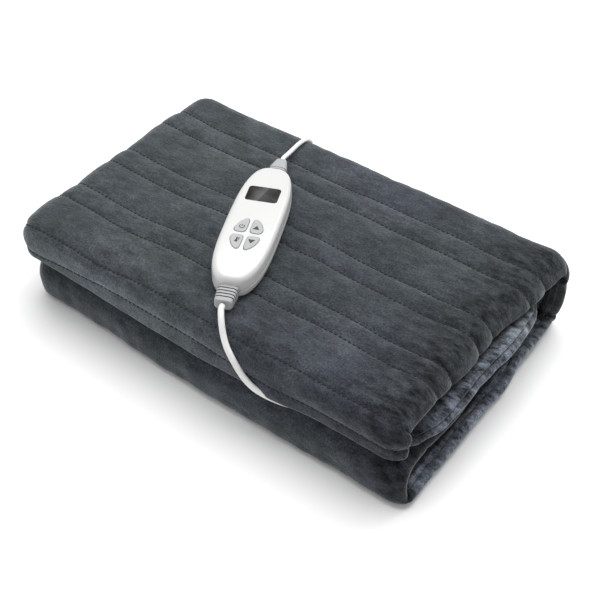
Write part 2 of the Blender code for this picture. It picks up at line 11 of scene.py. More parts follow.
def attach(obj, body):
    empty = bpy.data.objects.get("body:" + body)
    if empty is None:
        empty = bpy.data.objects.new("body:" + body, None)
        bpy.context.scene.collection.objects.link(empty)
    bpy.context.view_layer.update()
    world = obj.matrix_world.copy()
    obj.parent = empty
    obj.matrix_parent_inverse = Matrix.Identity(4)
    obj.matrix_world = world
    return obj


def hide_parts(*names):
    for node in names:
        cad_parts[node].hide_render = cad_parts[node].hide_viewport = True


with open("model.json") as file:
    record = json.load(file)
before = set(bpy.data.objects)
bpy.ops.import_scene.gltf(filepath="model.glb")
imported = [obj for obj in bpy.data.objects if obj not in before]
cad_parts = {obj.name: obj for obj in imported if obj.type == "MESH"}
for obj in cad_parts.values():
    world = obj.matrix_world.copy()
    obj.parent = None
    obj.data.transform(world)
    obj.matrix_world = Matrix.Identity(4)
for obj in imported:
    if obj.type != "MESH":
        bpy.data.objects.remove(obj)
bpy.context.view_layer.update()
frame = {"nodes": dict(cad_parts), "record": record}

# --- driving dimensions, shared with the CAD ------------------------------------------------------
HALF_DEPTH = 0.132
PACKET_TOP = 0.0892
HEM_HEIGHT = 0.0485
LAYER = 0.0044                     # one quilted layer: two fabrics with the wire between them
FRONT_ROLL = 0.0191
BACK_ROLL = 0.0220
FOLD_LOW = 0.0425                  # top of the lower packet
FOLD_HIGH = 0.0485                 # underside of the upper packet
STRIP = 3 * LAYER                  # the throw is folded in thirds one way, so each leg is three layers

HANDSET_AT = (-0.0209, -0.0268, 0.0895)
HANDSET_TURN = math.radians(23.8)
HANDSET_HALF = (0.02375, 0.07625)
HANDSET_HEIGHT = 0.022
SPLIT = 0.00915
OVAL_POWER = 3.0
WINDOW_SIZE = (0.0280, 0.0196)
WINDOW_Y = 0.0343
KEYS_Y = -0.0202
KEYS_RADII = (0.0130, 0.0211)
KEY_SLIT = 0.0032
KEYS = ((-1, 1, "power"), (1, 1, "up"), (-1, -1, "heat"), (1, -1, "down"))

CORD = 0.0052
MAINS_CORD = 0.0042
BLANKET_LEAD = [
    (0.0172, -0.1133, 0.09865), (0.0188, -0.1170, 0.0985), (0.0228, -0.1219, 0.0967),
    (0.0262, -0.1256, 0.0932), (0.0289, -0.1280, 0.0893), (0.0320, -0.1303, 0.0850),
    (0.0366, -0.1330, 0.0803), (0.0420, -0.1350, 0.0755), (0.0468, -0.1354, 0.0690),
    (0.0522, -0.1353, 0.0615), (0.0582, -0.1352, 0.0560), (0.0650, -0.1346, 0.0520),
    (0.0720, -0.1334, 0.0496), (0.0790, -0.1318, 0.0480), (0.0860, -0.1298, 0.0468),
    (0.0930, -0.1275, 0.0460), (0.1010, -0.1245, 0.0457), (0.1120, -0.1190, 0.0456),
    (0.1290, -0.1050, 0.0456), (0.1480, -0.0740, 0.0456), (0.1585, -0.0300, 0.0456),
    (0.1500, 0.0200, 0.0456), (0.1180, 0.0580, 0.0456), (0.0680, 0.0750, 0.0456),
    (0.0180, 0.0650, 0.0456), (-0.0200, 0.0360, 0.0456), (-0.0500, 0.0100, 0.0456),
    (-0.0770, 0.0010, 0.0440), (-0.0940, 0.0000, 0.0426), (-0.0993, 0.0000, 0.0425)]
MAINS_LEAD = [
    (-0.0618, 0.0659, 0.09865), (-0.0635, 0.0699, 0.0985), (-0.0664, 0.0797, 0.0956),
    (-0.0693, 0.0905, 0.0930), (-0.0711, 0.1000, 0.0918), (-0.0722, 0.1095, 0.0908),
    (-0.0731, 0.1178, 0.0882), (-0.0750, 0.1256, 0.0824), (-0.0775, 0.1312, 0.0748),
    (-0.0802, 0.1346, 0.0660), (-0.0840, 0.1365, 0.0540), (-0.0890, 0.1376, 0.0400),
    (-0.0935, 0.1388, 0.0270), (-0.0945, 0.1400, 0.0165), (-0.0901, 0.1410, 0.0096),
    (-0.0820, 0.1418, 0.0058), (-0.0748, 0.1422, 0.0045)]
MAINS_END = [
    (-0.0060, 0.1474, 0.0192), (0.0120, 0.1474, 0.0192), (0.0290, 0.1474, 0.0190),
    (0.0415, 0.1476, 0.0162), (0.0530, 0.1480, 0.0118), (0.0640, 0.1484, 0.0091),
    (0.0740, 0.1485, 0.0088)]
HANK_CENTRE = (-0.0245, 0.1630)
HANK_RUN = 0.070
HANK_TURNS = [(0.0208, 0.0045), (0.0163, 0.0045), (0.0163, 0.0094),
              (0.0208, 0.0094), (0.0208, 0.0143), (0.0163, 0.0143)]   # (radius, height) of each turn
PLUG_X, PLUG_Y, PLUG_Z = 0.0743, 0.1485, 0.0088


# --- general helpers ------------------------------------------------------------------------------
def new_object(name, data):
    made = bpy.data.objects.new(name, data)
    bpy.context.scene.collection.objects.link(made)
    return made


def add_object(name, data, finish, replaces=(), body="throw"):
    """Add a piece that rides a body; without a finish, its data already holds its own."""
    piece = new_object(name, data)
    if finish:
        data.materials.append(finish)
    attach(piece, body)
    if replaces:
        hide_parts(*replaces)
    return piece


def mesh_from(name, points, faces):
    mesh = bpy.data.meshes.new(name)
    mesh.from_pydata([tuple(p) for p in points], [], faces)
    shape = bmesh.new()
    shape.from_mesh(mesh)
    bmesh.ops.recalc_face_normals(shape, faces=shape.faces)
    shape.to_mesh(mesh)
    shape.free()
    mesh.shade_smooth()
    return mesh


def loft_faces(rings, count, base=0):
    """Sides and end caps of a closed solid through rings of count points, numbered from base."""
    faces = []
    for j in range(rings - 1):
        for i in range(count):
            a, b = base + j * count + i, base + j * count + (i + 1) % count
            faces.append((a, b, b + count, a + count))
    faces.append(tuple(base + i for i in range(count)))
    faces.append(tuple(base + (rings - 1) * count + i for i in range(count)))
    return faces


def loft(name, rings):
    return mesh_from(name, [point for ring in rings for point in ring], loft_faces(len(rings), len(rings[0])))


def arc_points(centre, radius, first, last, steps):
    """Points along an arc, both ends included. Its angles are in degrees."""
    angles = [math.radians(first + (last - first) * k / steps) for k in range(steps + 1)]
    return [(centre[0] + radius * math.cos(a), centre[1] + radius * math.sin(a)) for a in angles]


def sharpen(mesh, degrees=32):
    mesh.shade_smooth()
    mesh.set_sharp_from_angle(angle=math.radians(degrees))


def smooth_step(low, high, value):
    s = np.clip((value - low) / (high - low), 0.0, 1.0)
    return s * s * (3 - 2 * s)


def waves(seed, count, longest, shortest):
    """A smooth deterministic field of two variables, about -1 to 1, from sine waves of the given lengths."""
    draw = np.random.RandomState(seed)
    lengths = longest * (shortest / longest) ** draw.rand(count)
    angles = draw.rand(count) * 2 * math.pi
    phases = draw.rand(count) * 2 * math.pi
    heights = (lengths / longest) ** 0.6
    scale = 1.5 * heights.sum() / 2

    def field(u, v):
        total = 0.0
        for length, angle, phase, height in zip(lengths, angles, phases, heights):
            k = 2 * math.pi / length
            total = total + height * np.sin(k * (math.cos(angle) * u + math.sin(angle) * v) + phase)
        return total / scale
    return field


def distances(line):
    """The distance along a line of points at each of them."""
    return np.concatenate(([0.0], np.cumsum(np.linalg.norm(np.diff(line, axis=0), axis=1))))


def centripetal(points, step):
    """A smooth curve through the points, read off about every step metres."""
    knots = [Vector(p) for p in points]
    ends = [knots[0] * 2 - knots[1]] + knots + [knots[-1] * 2 - knots[-2]]
    fine = []
    for a, b, c, d in zip(ends, ends[1:], ends[2:], ends[3:]):
        t1 = (b - a).length ** 0.5
        t2 = t1 + (c - b).length ** 0.5
        t3 = t2 + (d - c).length ** 0.5
        for i in range(12):
            t = t1 + (t2 - t1) * i / 12
            middle = b.lerp(c, (t - t1) / (t2 - t1))
            before = a.lerp(b, t / t1).lerp(middle, t / t2)
            after = middle.lerp(c.lerp(d, (t - t2) / (t3 - t2)), (t - t1) / (t3 - t1))
            fine.append(before.lerp(after, (t - t1) / (t2 - t1)))
    fine.append(knots[-1])
    line = np.array(fine)
    along = distances(line)
    wanted = np.linspace(0.0, along[-1], max(2, round(along[-1] / step)) + 1)
    return np.column_stack([np.interp(wanted, along, line[:, i]) for i in range(3)])


# --- materials ------------------------------------------------------------------------------------
def set_inputs(node, values):
    for name, value in values.items():
        node.inputs[name].default_value = value


def new_finish(name, colour, roughness, metallic=0.0):
    finish = bpy.data.materials.new(name)
    finish.use_nodes = True
    shader = finish.node_tree.nodes["Principled BSDF"]
    set_inputs(shader, {"Base Color": (*colour, 1.0), "Roughness": roughness, "Metallic": metallic})
    return finish, finish.node_tree, shader


def noise_node(tree, scale, detail=3.0, rough=0.5, stretch=None):
    """Noise in the object's own coordinates; stretch squeezes it along chosen axes."""
    nodes, links = tree.nodes, tree.links
    where = nodes.get("place") or nodes.new("ShaderNodeTexCoord")
    where.name = "place"
    source = where.outputs["Object"]
    if stretch:
        squeeze = nodes.new("ShaderNodeMapping")
        set_inputs(squeeze, {"Scale": stretch})
        links.new(source, squeeze.inputs["Vector"])
        source = squeeze.outputs["Vector"]
    noise = nodes.new("ShaderNodeTexNoise")
    set_inputs(noise, {"Scale": scale, "Detail": detail, "Roughness": rough})
    links.new(source, noise.inputs["Vector"])
    return noise.outputs["Fac"]


def ramp_node(tree, source, stops):
    ramp = tree.nodes.new("ShaderNodeValToRGB")
    while len(ramp.color_ramp.elements) < len(stops):
        ramp.color_ramp.elements.new(0.5)
    for element, (position, colour) in zip(ramp.color_ramp.elements, stops):
        element.position = position
        element.color = (*colour, 1.0)
    tree.links.new(source, ramp.inputs["Fac"])
    return ramp.outputs["Color"]


def grey_ramp(tree, source, *stops):
    """A ramp of greys, from (position, level) pairs."""
    return ramp_node(tree, source, [(position, (level, level, level)) for position, level in stops])


def mix_colour(tree, mode, first, second, factor=None):
    """The two colours blended in full, or by a factor that comes from another node."""
    mix = tree.nodes.new("ShaderNodeMix")
    mix.data_type = "RGBA"
    mix.blend_type = mode
    mix.inputs["Factor"].default_value = 1.0
    if factor:
        tree.links.new(factor, mix.inputs["Factor"])
    tree.links.new(first, mix.inputs["A"])
    tree.links.new(second, mix.inputs["B"])
    return mix.outputs["Result"]


def bump_chain(tree, shader, steps):
    """Bumps in series. Each step is (height output, distance in metres, strength)."""
    last = None
    for height, distance, strength in steps:
        bump = tree.nodes.new("ShaderNodeBump")
        set_inputs(bump, {"Distance": distance, "Strength": strength})
        tree.links.new(height, bump.inputs["Height"])
        if last:
            tree.links.new(last, bump.inputs["Normal"])
        last = bump.outputs["Normal"]
    tree.links.new(last, shader.inputs["Normal"])


def streaky_shaded_end(tree):
    """0 over most of the throw, rising to 1 at its rolled right end, where the colour turns streakier and
    darker: partly crushed nap, partly painted shade.
    """
    where = tree.nodes.new("ShaderNodeSeparateXYZ")
    tree.links.new(tree.nodes["place"].outputs["Object"], where.inputs["Vector"])
    span = tree.nodes.new("ShaderNodeMapRange")
    span.interpolation_type = "SMOOTHSTEP"
    set_inputs(span, {"From Min": 0.12, "From Max": 0.19})
    tree.links.new(where.outputs["X"], span.inputs["Value"])
    return span.outputs["Result"]


def pile_colour(tree, patches, streaks, pile):
    """Slate grey in brushed patches; at the rolled end streakier and darker, partly crushed nap and partly
    painted shade; a painted highlight makes the hem and two right-hand edges paler.
    """
    nap_tone_and_painted_highlight = ramp_node(tree, patches, [(0.32, (0.028, 0.031, 0.035)), (0.50, (0.0385, 0.0425, 0.0475)),
                                    (0.68, (0.051, 0.055, 0.059))])
    tint = noise_node(tree, 7.0, 2.0)
    hue = ramp_node(tree, tint, [(0.35, (0.96, 1.05, 0.99)), (0.65, (0.98, 1.00, 1.12))])
    lay = grey_ramp(tree, streaks, (0.30, 0.62), (0.70, 1.40))
    # at the rolled end: a streakier ramp that is darker overall, partly crushed nap and partly painted shade
    rough = grey_ramp(tree, streaks, (0.36, 0.06), (0.72, 1.15))
    tips = grey_ramp(tree, pile, (0.32, 0.48), (0.68, 1.50))
    # painted highlight: the stored amount brightens the colour up to sixfold
    highlight_attribute = tree.nodes.new("ShaderNodeAttribute")
    highlight_attribute.attribute_name = "nap_tone_and_painted_highlight"
    painted_highlight = grey_ramp(tree, highlight_attribute.outputs["Fac"], (0.0, 1.0), (1.0, 6.0))
    colour = nap_tone_and_painted_highlight
    for layer in (hue, mix_colour(tree, "MIX", lay, rough, streaky_shaded_end(tree)), tips, painted_highlight):
        colour = mix_colour(tree, "MULTIPLY", colour, layer)
    return colour


def make_velour():
    """Short-pile plush with a pale sheen; its bumps follow the same noise as its colour."""
    finish, tree, shader = new_finish("velour", (0.05, 0.055, 0.06), 0.92)
    patches = noise_node(tree, 16.0, 5.0, 0.60)
    streaks = noise_node(tree, 75.0, 5.0, 0.62, (1.0, 2.2, 1.6))
    pile = noise_node(tree, 620.0, 4.0, 0.65)
    tree.links.new(pile_colour(tree, patches, streaks, pile), shader.inputs["Base Color"])
    set_inputs(shader, {"Specular IOR Level": 0.12, "Sheen Weight": 0.50, "Sheen Roughness": 0.40,
                        "Sheen Tint": (0.80, 0.86, 0.90, 1.0)})
    bump_chain(tree, shader, [(patches, 0.0040, 0.30), (streaks, 0.0016, 0.55), (pile, 0.0009, 0.6)])
    return finish


def make_plastic(name, colour, roughness, grain=900.0, relief=0.00005, coat=0.0, variation=0.04):
    """Moulded plastic or rubber: faint uneven tone, fine moulded grain."""
    finish, tree, shader = new_finish(name, colour, roughness)
    cloud = noise_node(tree, 45.0, 3.0)
    dark = tuple(c * (1 - variation) for c in colour)
    light = tuple(min(1.0, c * (1 + variation)) for c in colour)
    tree.links.new(ramp_node(tree, cloud, [(0.35, dark), (0.65, light)]), shader.inputs["Base Color"])
    set_inputs(shader, {"Coat Weight": coat, "Coat Roughness": 0.08})
    bump_chain(tree, shader, [(noise_node(tree, grain, 2.0), relief, 0.5)])
    return finish


def make_metal(name, colour, roughness):
    finish, tree, shader = new_finish(name, colour, roughness, 1.0)
    scratches = noise_node(tree, 700.0, 5.0, 0.7)
    tone = ramp_node(tree, scratches, [(0.3, tuple(c * 0.8 for c in colour)), (0.7, colour)])
    tree.links.new(tone, shader.inputs["Base Color"])
    bump_chain(tree, shader, [(scratches, 0.00004, 0.4)])
    return finish


def make_display():
    """Black display glass with one pale diagonal streak, a painted reflection."""
    finish, tree, shader = new_finish("display_glass", (0.012, 0.012, 0.013), 0.30)
    where = tree.nodes.new("ShaderNodeTexCoord")
    turn = Matrix.Rotation(HANDSET_TURN, 3, "Z")
    # position across the window, 0 to 1, along a direction that leans with the painted reflection
    across = turn @ Vector((1 / WINDOW_SIZE[0], -0.22 / WINDOW_SIZE[1], 0.0))
    origin = Vector(HANDSET_AT) + turn @ Vector((0.0, WINDOW_Y, 0.0))
    dot = tree.nodes.new("ShaderNodeVectorMath")
    dot.operation = "DOT_PRODUCT"
    dot.inputs[1].default_value = across
    shift = tree.nodes.new("ShaderNodeMath")
    shift.inputs[1].default_value = 0.5 - origin.dot(across)
    tree.links.new(where.outputs["Object"], dot.inputs[0])
    tree.links.new(dot.outputs["Value"], shift.inputs[0])
    # painted reflection: a pale diagonal band across the dark glass
    painted_reflection = ramp_node(tree, shift.outputs["Value"],
                       [(0.12, (0.010, 0.010, 0.011)), (0.49, (0.085, 0.085, 0.088)),
                        (0.51, (0.036, 0.036, 0.038)), (0.85, (0.014, 0.014, 0.015))])
    tree.links.new(painted_reflection, shader.inputs["Base Color"])
    set_inputs(shader, {"Specular IOR Level": 0.15})
    bump_chain(tree, shader, [(noise_node(tree, 300.0), 0.00001, 0.2)])
    return finish


VELOUR = make_velour()
THREAD = make_plastic("thread", (0.012, 0.014, 0.017), 0.85, 2500.0, 0.0002)
WHITE = make_plastic("white_shell", (0.56, 0.56, 0.555), 0.22, 1400.0, 0.00002, 0.25, 0.01)
KEY = make_plastic("key_grey", (0.35, 0.355, 0.36), 0.45)
ICON = make_plastic("icon_black", (0.015, 0.015, 0.017), 0.45)
RELIEF = make_plastic("relief_grey", (0.33, 0.335, 0.34), 0.50)
# painted shade for the relief's grooves, the same plastic as the ribs
GROOVE_PAINTED_SHADE = make_plastic("groove_painted_shade", (0.05, 0.052, 0.055), 0.7)
CORD_WHITE = make_plastic("cord_white", (0.72, 0.72, 0.715), 0.38, 600.0, 0.00006, 0.1, 0.02)
DISPLAY = make_display()
BLACK = make_plastic("black_plastic", (0.02, 0.02, 0.022), 0.4)
STEEL = make_metal("plain_steel", (0.56, 0.57, 0.58), 0.32)
BRASS = make_metal("plug_brass", (0.78, 0.63, 0.36), 0.28)
BOARD = make_plastic("board_green", (0.02, 0.14, 0.06), 0.4, 400.0, 0.0001, 0.3, 0.25)
AMBER = make_plastic("capacitor_amber", (0.45, 0.22, 0.05), 0.35)
FUSE = make_plastic("fuse_glass", (0.62, 0.66, 0.66), 0.08)
WIRE = make_plastic("wire_cover", (0.60, 0.60, 0.58), 0.6)
SLOT_FINISH = {"velour": VELOUR, "white_shell": WHITE, "key_grey": KEY, "relief_grey": RELIEF,
               "cord_white": CORD_WHITE, "black_gloss": BLACK, "tie_black": BLACK, "board_green": BOARD,
               "plain_steel": STEEL, "plug_brass": BRASS, "wire_cover": WIRE, "capacitor_amber": AMBER,
               "fuse_glass": FUSE}


def finish_cad_nodes():
    for part in frame["record"]["subparts"]:
        node = frame["nodes"][part["node"]]
        finish = SLOT_FINISH[part["material_slot"]]
        for slot in node.material_slots:
            slot.material = finish


# --- the throw: one sheet, folded in thirds across its width and then along its length --------------
def fold_steps():
    """Lines (from, to) and arcs (centre, radius, first and last angle) of the outer face in the YZ plane.

    0 hem, 1 front roll, 2 top, 3-5 back, 6 underside, 7-9 lower front, 10 lower packet's top, 11 spine,
    12 upper packet's underside, 13-18 the inner leg, round inside both packets.
    """
    turn = STRIP + 0.0004
    front_y, back_y = -HALF_DEPTH + FRONT_ROLL, HALF_DEPTH - BACK_ROLL
    low_y, low_r, high_r = -0.1325, 0.009, 0.0235
    deep_y, spine_y, inner_y, inner_r = -0.104, 0.086, 0.1185, 0.016
    under_r = 0.014
    gap = (FOLD_HIGH - FOLD_LOW) / 2
    inner_top = FOLD_HIGH + 2 * turn
    return [("line", (-HALF_DEPTH, HEM_HEIGHT), (-HALF_DEPTH, PACKET_TOP - FRONT_ROLL)),
            ("arc", (front_y, PACKET_TOP - FRONT_ROLL), FRONT_ROLL, 180, 90),
            ("line", (front_y, PACKET_TOP), (back_y, PACKET_TOP)),
            ("arc", (back_y, PACKET_TOP - BACK_ROLL), BACK_ROLL, 90, 0),
            ("line", (HALF_DEPTH, PACKET_TOP - BACK_ROLL), (HALF_DEPTH, under_r)),
            ("arc", (HALF_DEPTH - under_r, under_r), under_r, 0, -90),
            ("line", (HALF_DEPTH - under_r, 0.0), (low_y + low_r, 0.0)),
            ("arc", (low_y + low_r, low_r), low_r, 270, 180),
            ("line", (low_y, low_r), (low_y, FOLD_LOW - high_r)),
            ("arc", (low_y + high_r, FOLD_LOW - high_r), high_r, 180, 90),
            ("line", (low_y + high_r, FOLD_LOW), (spine_y, FOLD_LOW)),
            ("arc", (spine_y, FOLD_LOW + gap), gap, -90, 90),
            ("line", (spine_y, FOLD_HIGH), (deep_y, FOLD_HIGH)),
            ("arc", (deep_y, FOLD_HIGH + turn), turn, 270, 90),
            ("line", (deep_y, inner_top), (inner_y - inner_r, inner_top)),
            ("arc", (inner_y - inner_r, inner_top - inner_r), inner_r, 90, 0),
            ("line", (inner_y, inner_top - inner_r), (inner_y, STRIP + turn)),
            ("arc", (inner_y - STRIP, STRIP + turn), STRIP, 0, -90),
            ("line", (inner_y - STRIP, turn), (-0.080, turn))]


def fold_path():
    """The steps read off every millimetre, from the hanging hem to the inner end, with the left normal."""
    steps = fold_steps()
    points, starts, done = [], [], 0.0
    for step in steps:
        starts.append(done)
        if step[0] == "line":
            start, run = np.array(step[1]), np.array(step[2]) - step[1]
            count = max(2, int(np.linalg.norm(run) / 0.002))
            points += [start + run * i / count for i in range(count)]
            done += float(np.linalg.norm(run))
        else:
            points += arc_points(*step[1:], 24)[:-1]
            done += step[2] * math.radians(abs(step[4] - step[3]))
    points.append(steps[-1][2])
    line = np.array(points)
    along = distances(line)
    ticks = np.arange(0.0, along[-1], 0.001)
    y, z = np.interp(ticks, along, line[:, 0]), np.interp(ticks, along, line[:, 1])
    ty, tz = np.gradient(y), np.gradient(z)
    size = np.hypot(ty, tz)
    return ticks, y, z, -tz / size, ty / size, starts + [along[-1]]


TICKS, PATH_Y, PATH_Z, NORMAL_Y, NORMAL_Z, STARTS = fold_path()
PATH_END = STARTS[-1]
FRONT_TOP = STARTS[2]               # where the top's flat part starts, next to the front roll
VISIBLE_END = STARTS[10] + 0.03     # past the lower packet's front fold, nothing shows but the ends

HEM_LINE, EDGE_LINE = 0.0125, 0.0395            # distances along the path of the first two stitch lines
TOP_LINES_Y = (-0.0766, -0.0546, -0.0132, 0.0097, 0.0598, 0.0842)
NARROW, WIDE = 0.0232, 0.0455                   # the two widths of channel, which take turns


def seam_lines():
    """Every stitch line's distance along the path: hem, front edge, the top's, then the same rhythm on."""
    lines = [HEM_LINE, EDGE_LINE] + [FRONT_TOP + y + HALF_DEPTH - FRONT_ROLL for y in TOP_LINES_Y]
    step = WIDE
    while lines[-1] + step < PATH_END - 0.02:
        lines.append(lines[-1] + step)
        step = NARROW if step == WIDE else WIDE
    return np.array([t for t in lines if not STARTS[7] - 0.004 < t < STARTS[10] + 0.012])


SEAMS = seam_lines()
drift = waves(3, 7, 0.30, 0.07)
swell = waves(11, 9, 0.16, 0.045)
pucker = waves(23, 10, 0.022, 0.008)
crease = waves(31, 8, 0.050, 0.018)


def seam_distance(t):
    """Distance to the nearest stitch line, and the width of the channel that holds t."""
    index = np.clip(np.searchsorted(SEAMS, t), 1, len(SEAMS) - 1)
    low, high = SEAMS[index - 1], SEAMS[index]
    return np.minimum(np.abs(t - low), np.abs(high - t)), high - low


def channel_rise(x, t):
    """How far the outer face stands above the stitch line, from 0 in the seam to the channel's crown."""
    gap, width = seam_distance(t)
    width = np.clip(width, 0.012, 0.05)
    arch = 1 - np.clip(1 - gap / (width / 2), 0, 1) ** 2.3
    crown = 0.0009 + 0.016 * width
    near = np.exp(-gap / 0.008) * np.clip(gap / 0.0025, 0, 1)
    ripple = 0.0010 * pucker(x, t * 0.35) * near
    soft = 0.0010 * crease(x, t) * arch
    return crown * arch + ripple + soft


def wander(x, t):
    """Slow sideways drift of the stitch lines, less at the hem."""
    return 0.0030 * drift(x, t * 0.6) * smooth_step(0.0, 0.04, t)


# Each end of the folded strip bends towards the inside of its packet. The knots along the length are (step
# of the path, distance past its start, where the edge lies if laid flat, where the bend starts, 1 / radius).
RIGHT_END = [
    (0, 0, 0.2060, 0.1830, 52), (1, 0, 0.2080, 0.1830, 50), (2, 0, 0.2055, 0.1800, 50),
    (2, 0.03, 0.2060, 0.1785, 48), (2, 0.08, 0.2090, 0.1765, 46), (2, 0.14, 0.2090, 0.1765, 46),
    (3, 0, 0.2160, 0.1840, 46), (4, 0, 0.2220, 0.1870, 46), (5, -0.02, 0.2150, 0.1850, 46),
    (5, 0, 0.2070, 0.1830, 46), (6, 0, 0.2120, 0.1860, 60), (6, 0.05, 0.2150, 0.1910, 76),
    (6, 0.12, 0.2180, 0.1950, 80), (7, -0.04, 0.2180, 0.1950, 80), (7, 0, 0.2130, 0.1930, 60),
    (8, 0, 0.2060, 0.1860, 20), (9, 0, 0.2040, 0.1780, 16), (10, 0, 0.2040, 0.1780, 12),
    (10, 0.03, 0.2030, 0.1760, 12), (10, 0.10, 0.2010, 0.1740, 14), (11, -0.02, 0.1950, 0.1700, 14),
    (11, 0, 0.1900, 0.1700, 0), (12, 0, 0.1950, 0.1750, 0), (12, 0.02, 0.2090, 0.1750, 8),
    (12, 0.07, 0.2120, 0.1750, 10), (12, 0.13, 0.2105, 0.1750, 6), (13, -0.02, 0.2060, 0.1750, 2),
    (14, 0, 0.1880, 0.1750, 0), (15, 0, 0.1900, 0.1750, 0), (18, 0, 0.1860, 0.1750, 0),
    (19, 0, 0.1860, 0.1750, 0)]
LEFT_END = [
    (0, 0, 0.2110, 0.1840, 46), (1, 0, 0.2160, 0.1880, 52), (2, 0, 0.2190, 0.1925, 60),
    (2, 0.04, 0.2210, 0.1940, 60), (3, -0.03, 0.2220, 0.1950, 58), (3, 0, 0.2210, 0.1920, 52),
    (5, 0, 0.2100, 0.1860, 48), (6, 0, 0.2080, 0.1860, 40), (6, 0.03, 0.2130, 0.1840, 50),
    (7, -0.02, 0.2080, 0.1800, 50), (7, 0, 0.1980, 0.1810, 40), (8, 0, 0.2050, 0.1830, 46),
    (9, 0, 0.2170, 0.1860, 50), (11, -0.08, 0.2170, 0.1850, 50), (11, -0.03, 0.2060, 0.1820, 36),
    (11, 0, 0.1900, 0.1780, 10), (12, 0, 0.1880, 0.1760, 0), (12, 0.04, 0.2160, 0.1900, 51),
    (13, -0.05, 0.2180, 0.1900, 51), (13, -0.01, 0.2080, 0.1900, 40), (14, 0, 0.1900, 0.1900, 0),
    (19, 0, 0.1880, 0.1900, 0)]
BEND_MOST = math.radians(88)
LEAD_UNDER_HEM = 0.082             # where along the hem the lead to the throw slips in
FLOOR_GAP = 0.0002


def end_knots(table, t, column):
    return np.interp(t, [STARTS[row[0]] + row[1] for row in table], [row[column] for row in table])


def right_edge(t):
    return end_knots(RIGHT_END, t, 2) + 0.0016 * np.sin(t * 61.0)


def left_edge(t):
    return -end_knots(LEFT_END, t, 2) + 0.0012 * np.sin(t * 47.0 + 1.0)


def bend(along, rise, start, curl):
    """Carry a point past the bend's start round an arc towards the inner side."""
    past = np.maximum(along - start, 0.0)
    turned = np.minimum(past * curl, BEND_MOST)
    curl = np.maximum(curl, 0.001)
    arc = turned / curl
    beyond = past - arc
    out = arc * np.sinc(turned / math.pi) + beyond * np.cos(turned)
    drop = arc * turned / 2 * np.sinc(turned / (2 * math.pi)) ** 2 + beyond * np.sin(turned)
    bent = np.minimum(along, start) + out + rise * np.sin(turned)
    return bent, rise * np.cos(turned) - drop


def bend_ends(x, rise, t):
    gap, _ = seam_distance(t)
    outside = 1 - smooth_step(STARTS[5] - 0.02, STARTS[5], t)
    tuck = 0.0011 * np.exp(-gap / 0.0060) * outside + 0.0024 * drift(t * 1.7, 0.3)
    right = bend(x, rise, end_knots(RIGHT_END, t, 3) - tuck, end_knots(RIGHT_END, t, 4))
    left = bend(-x, rise, end_knots(LEFT_END, t, 3) - tuck, end_knots(LEFT_END, t, 4))
    return np.where(x > 0, right[0], -left[0]), np.where(x > 0, right[1], left[1])


def hem_shift(x, t):
    """The hem hangs unevenly: how much higher its edge and its stitch line are than nominal."""
    edge = np.interp(x, (-0.178, -0.121, -0.055, 0.007, 0.086, 0.150),
                     (0.007, 0.003, -0.0015, -0.0045, 0.0, 0.002))
    stitch = np.interp(x, (-0.172, -0.100, -0.003, 0.057, 0.117), (0.0, 0.0055, 0.003, -0.0025, 0.0))
    reach = (0.0, HEM_LINE, 0.034)
    return np.interp(t, reach, (1.0, 0.0, 0.0)) * edge + np.interp(t, reach, (0.0, 1.0, 0.0)) * stitch


def handset_local(x, y):
    dx, dy = x - HANDSET_AT[0], y - HANDSET_AT[1]
    cos, sin = math.cos(HANDSET_TURN), math.sin(HANDSET_TURN)
    return dx * cos + dy * sin, -dx * sin + dy * cos


def shift_front(x, y, z, t):
    """The hem swells where the lead slips under it, and the lower fold draws back towards the left."""
    over_lead = np.exp(-((x - LEAD_UNDER_HEM) / 0.020) ** 2) * (1 - smooth_step(0.006, 0.020, t))
    y = y - 0.0034 * over_lead
    low = (1 - smooth_step(-0.120, -0.060, y)) * (1 - smooth_step(0.040, 0.048, z))
    return y + 0.0085 * smooth_step(-0.02, 0.19, -x) * low


def shape_top(x, y, z):
    """Broad unevenness of the top, which sags towards its ends, and the hollow under the handset."""
    on_top = smooth_step(0.055, 0.080, z)
    sag = 0.0014 * smooth_step(0.09, 0.20, np.abs(x))
    z = z + (0.0009 * (swell(x, y) - 0.5) - sag) * on_top
    u, v = handset_local(x, y)
    across, along = np.abs(u / HANDSET_HALF[0]), np.abs(v / HANDSET_HALF[1])
    reach = (across ** OVAL_POWER + along ** OVAL_POWER) ** (1 / OVAL_POWER)    # 1 on the handset's outline
    z = z + 0.0020 * np.exp(-((reach - 1.13) / 0.08) ** 2) * smooth_step(0.080, 0.084, z)
    limit = HANDSET_AT[2] - 0.0004 + 0.030 * np.clip(reach - 1.01, 0, 1)
    return np.where(z > 0.08, np.minimum(z, limit), z)


def throw_point(x, rise, t):
    """World place of a point of the folded throw: along its width, off its outer face, along its length."""
    at = np.clip(t + wander(x, t) + hem_shift(x, t), 0.0, PATH_END - 0.001)
    flat_x = x
    x, rise = bend_ends(x, rise, t)
    y = np.interp(at, TICKS, PATH_Y) + rise * np.interp(at, TICKS, NORMAL_Y)
    z = np.interp(at, TICKS, PATH_Z) + rise * np.interp(at, TICKS, NORMAL_Z)
    z = z + np.minimum(hem_shift(flat_x, t) + t, 0.0)
    y = shift_front(x, y, z, t)
    z = np.maximum(shape_top(x, y, z), FLOOR_GAP)
    return np.stack([x, y, z], axis=-1)


def closer_at_ends(first, middle, last, share=0.11):
    """Fractions strictly between 0 and 1, with more of them in the end shares than in the middle."""
    return np.concatenate((np.linspace(0, share, first + 1)[1:],
                           np.linspace(share, 1 - share, middle + 1)[1:],
                           np.linspace(1 - share, 1, last + 1)[1:-1])).tolist()


